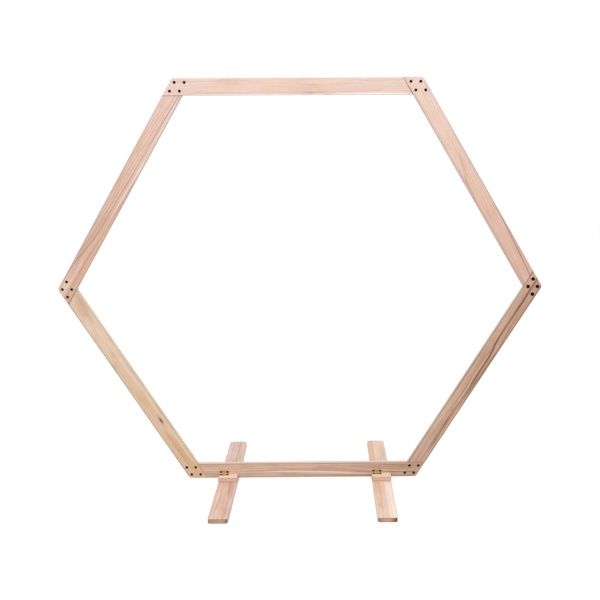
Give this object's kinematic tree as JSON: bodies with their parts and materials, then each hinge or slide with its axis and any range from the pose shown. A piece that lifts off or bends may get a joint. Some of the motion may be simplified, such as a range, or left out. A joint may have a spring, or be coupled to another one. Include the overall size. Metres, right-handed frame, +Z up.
{
  "type": "backdrop stand",
  "caption": "Open six-sided backdrop frame of flat pale wood boards, half-lapped and screwed at the corners, standing on flat wooden feet with blocks and small brass hinges.",
  "frame": {"origin": "on the floor, halfway along the feet, under the middle of the bottom rail", "axes": "+X along the bottom rail to the right as seen from the front, +Y from front to back, +Z up"},
  "size_m": [2.232, 0.815, 1.9028],
  "materials": {
    "frame_wood": "planed, unfinished",
    "foot_wood": "planed, unfinished",
    "black_screws": "satin black",
    "brass": "satin",
    "hinge_screws": "dark bronze"
  },
  "bodies": {
    "root": {"top_rail": "frame_wood", "right_upper_rail": "frame_wood", "right_lower_rail": "frame_wood", "bottom_rail": "frame_wood", "left_lower_rail": "frame_wood", "left_upper_rail": "frame_wood", "left_foot": "foot_wood", "left_front_block": "foot_wood", "left_back_block": "foot_wood", "left_hinge_rail_leaf": "brass", "left_hinge_block_leaf": "brass", "left_hinge_pin": "brass", "right_foot": "foot_wood", "right_front_block": "foot_wood", "right_back_block": "foot_wood", "right_hinge_rail_leaf": "brass", "right_hinge_block_leaf": "brass", "right_hinge_pin": "brass"}
  },
  "joints": []
}
